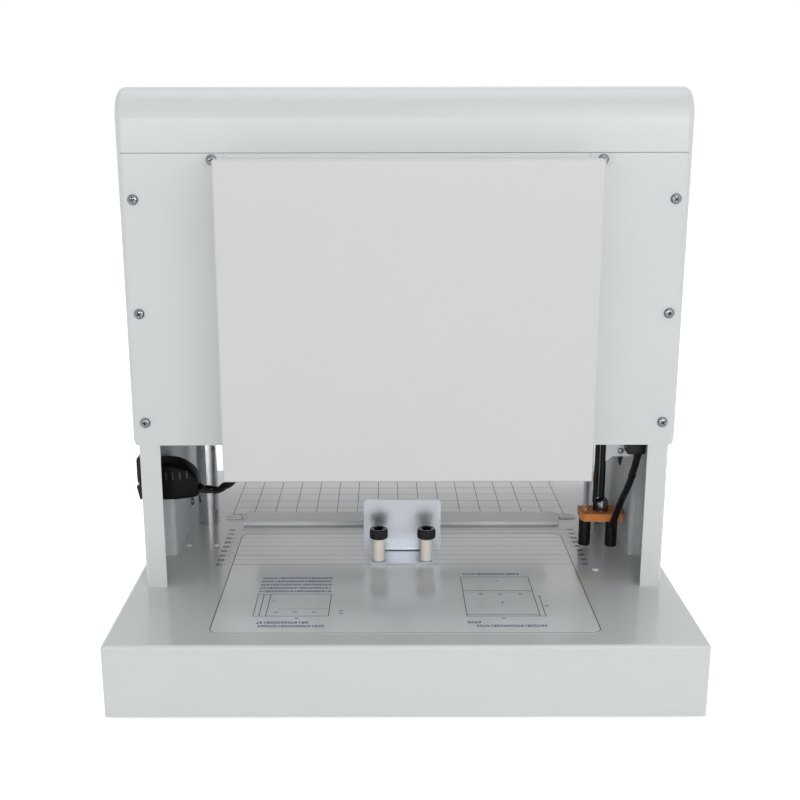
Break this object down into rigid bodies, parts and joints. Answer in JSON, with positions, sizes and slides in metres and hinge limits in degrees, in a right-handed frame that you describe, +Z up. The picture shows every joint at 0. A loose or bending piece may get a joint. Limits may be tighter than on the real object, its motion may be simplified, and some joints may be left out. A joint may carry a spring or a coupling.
{
  "type": "document drilling and riveting machine",
  "caption": "Motorised desk-top press that drills and rivets documents: closed head on side posts, guide columns, press beam, back gauge on a flat table",
  "frame": {"origin": "middle of the base's outline, on the surface that the rubber feet stand on", "axes": "+Z up, -Y towards the side with the back gauge and the drive cover, +X to the right as seen from there"},
  "size_m": [0.506, 0.48, 0.5182],
  "materials": {
    "painted_white": "satin powder coat",
    "galvanised": "galvanised sheet",
    "black_rubber": "matte",
    "pad_white": "matte",
    "printed_film": "satin film",
    "zinc_steel": "bright zinc",
    "polished_chrome": "polished",
    "satin_aluminium": "satin",
    "bronze": "machined",
    "motor_black": "black anodised",
    "knob_steel": "black oxide",
    "orange_phenolic": "matte laminate",
    "black_plastic": "matte",
    "brass": "turned",
    "white_nylon": "matte",
    "keypad_grey": "matte film",
    "display_glass": "clear",
    "circuit_green": "solder mask",
    "supply_metal": "plain sheet",
    "key_plastic": "semi-gloss",
    "start_green": "semi-gloss"
  },
  "bodies": {
    "machine_frame": {"base_cover": "painted_white", "base_floor": "galvanised", "base_feet": "black_rubber", "bed_frame": "galvanised", "pad_strip": "pad_white", "table_film": "printed_film", "head_hood": "painted_white", "rear_panel": "painted_white", "front_fascia": "painted_white", "drive_cover": "painted_white", "fixing_screws": "zinc_steel", "side_cover_left": "painted_white", "side_cover_right": "painted_white", "side_frame_left": "galvanised", "side_frame_right": "galvanised", "guide_column_left": "polished_chrome", "guide_column_right": "polished_chrome", "column_nuts": "zinc_steel", "crown_plate": "zinc_steel", "shaft_bearings": "bronze", "lift_gearbox": "satin_aluminium", "lift_motor": "motor_black", "lamp_plate": "orange_phenolic", "lamp_modules": "black_plastic", "lamp_hanger": "black_plastic", "dome_nut": "polished_chrome", "brass_cap": "brass", "nylon_nut": "white_nylon", "lamp_loom": "black_plastic", "terminal_bracket": "satin_aluminium", "terminal_block": "black_plastic", "power_inlet": "black_plastic", "inlet_boot": "black_rubber", "inlet_loom": "black_plastic", "keypad": "keypad_grey", "display_window": "display_glass", "control_board": "circuit_green", "power_supply": "supply_metal"},
    "beam": {"press_beam": "satin_aluminium", "beam_bushes": "bronze", "spring_cans": "zinc_steel", "drill_motors": "motor_black", "spindle_bearings": "zinc_steel", "lift_racks": "zinc_steel"},
    "cross_shaft": {"lift_shaft": "polished_chrome", "lift_pinions": "zinc_steel"},
    "pressure_foot": {"foot_bar": "satin_aluminium", "foot_rods": "polished_chrome"},
    "drill_left": {"drill_spindle_left": "zinc_steel"},
    "drill_middle": {"drill_spindle_middle": "zinc_steel"},
    "drill_right": {"drill_spindle_right": "zinc_steel"},
    "back_gauge": {"stop_bracket": "satin_aluminium", "stop_sleeves": "satin_aluminium"},
    "knob_left": {"stop_knob_left": "knob_steel"},
    "knob_right": {"stop_knob_right": "knob_steel"},
    "rocker": {"power_rocker": "black_plastic"},
    "key_a_cap": {"key_a": "key_plastic"},
    "key_b_cap": {"key_b": "key_plastic"},
    "key_c_cap": {"key_c": "key_plastic"},
    "start_key_cap": {"start_key": "start_green"}
  },
  "joints": [
    {"name": "beam_slide", "type": "slide", "parent": "machine_frame", "child": "beam", "axis": [0, 0, -1], "range_m": [0, 0.0547]},
    {"name": "lift_shaft_turn", "type": "hinge", "parent": "machine_frame", "child": "cross_shaft", "pos_m": [0, -0.025, 0.305], "axis": [-1, 0, 0], "range_deg": [0, 165]},
    {"name": "foot_slide", "type": "slide", "parent": "beam", "child": "pressure_foot", "axis": [0, 0, 1], "range_m": [0, 0.052], "stiffness_N_per_m": 600, "springref_m": -0.03},
    {"name": "drill_left_spin", "type": "hinge", "parent": "beam", "child": "drill_left", "pos_m": [-0.09, 0.055, 0.2], "axis": [0, 0, 1], "continuous": true},
    {"name": "drill_middle_spin", "type": "hinge", "parent": "beam", "child": "drill_middle", "pos_m": [0, 0.055, 0.2], "axis": [0, 0, 1], "continuous": true},
    {"name": "drill_right_spin", "type": "hinge", "parent": "beam", "child": "drill_right", "pos_m": [0.09, 0.055, 0.2], "axis": [0, 0, 1], "continuous": true},
    {"name": "gauge_slide", "type": "slide", "parent": "machine_frame", "child": "back_gauge", "axis": [0, 1, 0], "range_m": [-0.03, 0.055]},
    {"name": "knob_left_turn", "type": "hinge", "parent": "back_gauge", "child": "knob_left", "pos_m": [-0.0233, -0.06, 0.1], "axis": [0, 0, 1], "continuous": true},
    {"name": "knob_right_turn", "type": "hinge", "parent": "back_gauge", "child": "knob_right", "pos_m": [0.0233, -0.06, 0.1], "axis": [0, 0, 1], "continuous": true},
    {"name": "rocker_tilt", "type": "hinge", "parent": "machine_frame", "child": "rocker", "pos_m": [-0.2426, -0.075, 0.1524], "axis": [0, 1, 0], "range_deg": [0, 18]},
    {"name": "key_a_press", "type": "slide", "parent": "machine_frame", "child": "key_a_cap", "axis": [0, -0.8299, -0.5579], "range_m": [0, 0.0012], "stiffness_N_per_m": 400, "springref_m": -0.001},
    {"name": "key_b_press", "type": "slide", "parent": "machine_frame", "child": "key_b_cap", "axis": [0, -0.8299, -0.5579], "range_m": [0, 0.0012], "stiffness_N_per_m": 400, "springref_m": -0.001},
    {"name": "key_c_press", "type": "slide", "parent": "machine_frame", "child": "key_c_cap", "axis": [0, -0.8299, -0.5579], "range_m": [0, 0.0012], "stiffness_N_per_m": 400, "springref_m": -0.001},
    {"name": "start_key_press", "type": "slide", "parent": "machine_frame", "child": "start_key_cap", "axis": [0, -0.8299, -0.5579], "range_m": [0, 0.0012], "stiffness_N_per_m": 400, "springref_m": -0.001}
  ],
  "couplings": [
    {"joint": "lift_shaft_turn", "follows": "beam_slide", "rad_per_m": 50}
  ]
}
